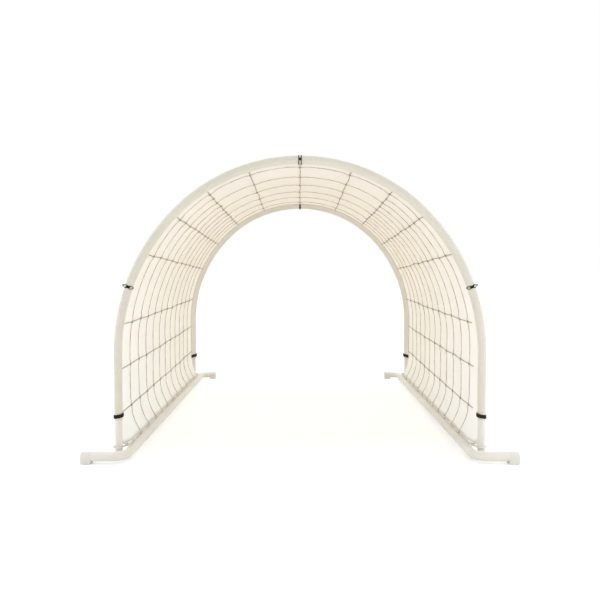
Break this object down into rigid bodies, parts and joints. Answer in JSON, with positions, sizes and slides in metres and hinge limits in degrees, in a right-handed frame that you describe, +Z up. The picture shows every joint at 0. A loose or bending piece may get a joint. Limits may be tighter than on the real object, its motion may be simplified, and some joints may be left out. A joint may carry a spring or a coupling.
{
  "type": "dog agility tunnel",
  "caption": "Open dog agility tunnel: two tube arches plugged onto base rails, with a pale cloth cover and a cord net inside.",
  "frame": {"origin": "on the floor, under the middle of the tunnel", "axes": "+Y along the tunnel from its front to its rear, +X to the right seen from the front, +Z up"},
  "size_m": [0.916, 1.1026, 0.6504],
  "materials": {
    "cream_paint": "smooth cream powder coat",
    "cap_plastic": "matte light grey moulding",
    "cover_cloth": "matte pale cream woven cloth",
    "sleeve_cloth": "matte off-white woven cloth, stitched",
    "net_cord": "matte twisted cord",
    "hem_rope": "matte twisted rope",
    "tie_strap": "matte black strap"
  },
  "bodies": {
    "rails": {"left_rail": "cream_paint", "right_rail": "cream_paint", "front_left_foot_cap": "cap_plastic", "front_right_foot_cap": "cap_plastic", "rear_left_foot_cap": "cap_plastic", "rear_right_foot_cap": "cap_plastic", "front_left_leg_seat": "cream_paint", "front_right_leg_seat": "cream_paint", "rear_left_leg_seat": "cream_paint", "rear_right_leg_seat": "cream_paint"},
    "canopy": {"front_arch": "cream_paint", "rear_arch": "cream_paint", "cover_panel": "cover_cloth", "front_hem_sleeve": "sleeve_cloth", "rear_hem_sleeve": "sleeve_cloth", "net": "net_cord", "left_hem_rope": "hem_rope", "right_hem_rope": "hem_rope", "front_top_tie": "tie_strap", "front_left_side_tie": "tie_strap", "front_right_side_tie": "tie_strap", "front_left_low_tie": "tie_strap", "front_right_low_tie": "tie_strap", "rear_top_tie": "tie_strap", "rear_left_low_tie": "tie_strap", "rear_right_low_tie": "tie_strap"}
  },
  "joints": [
    {"name": "canopy_lift", "type": "slide", "parent": "rails", "child": "canopy", "axis": [0, 0, 1], "range_m": [0, 0.058]}
  ]
}
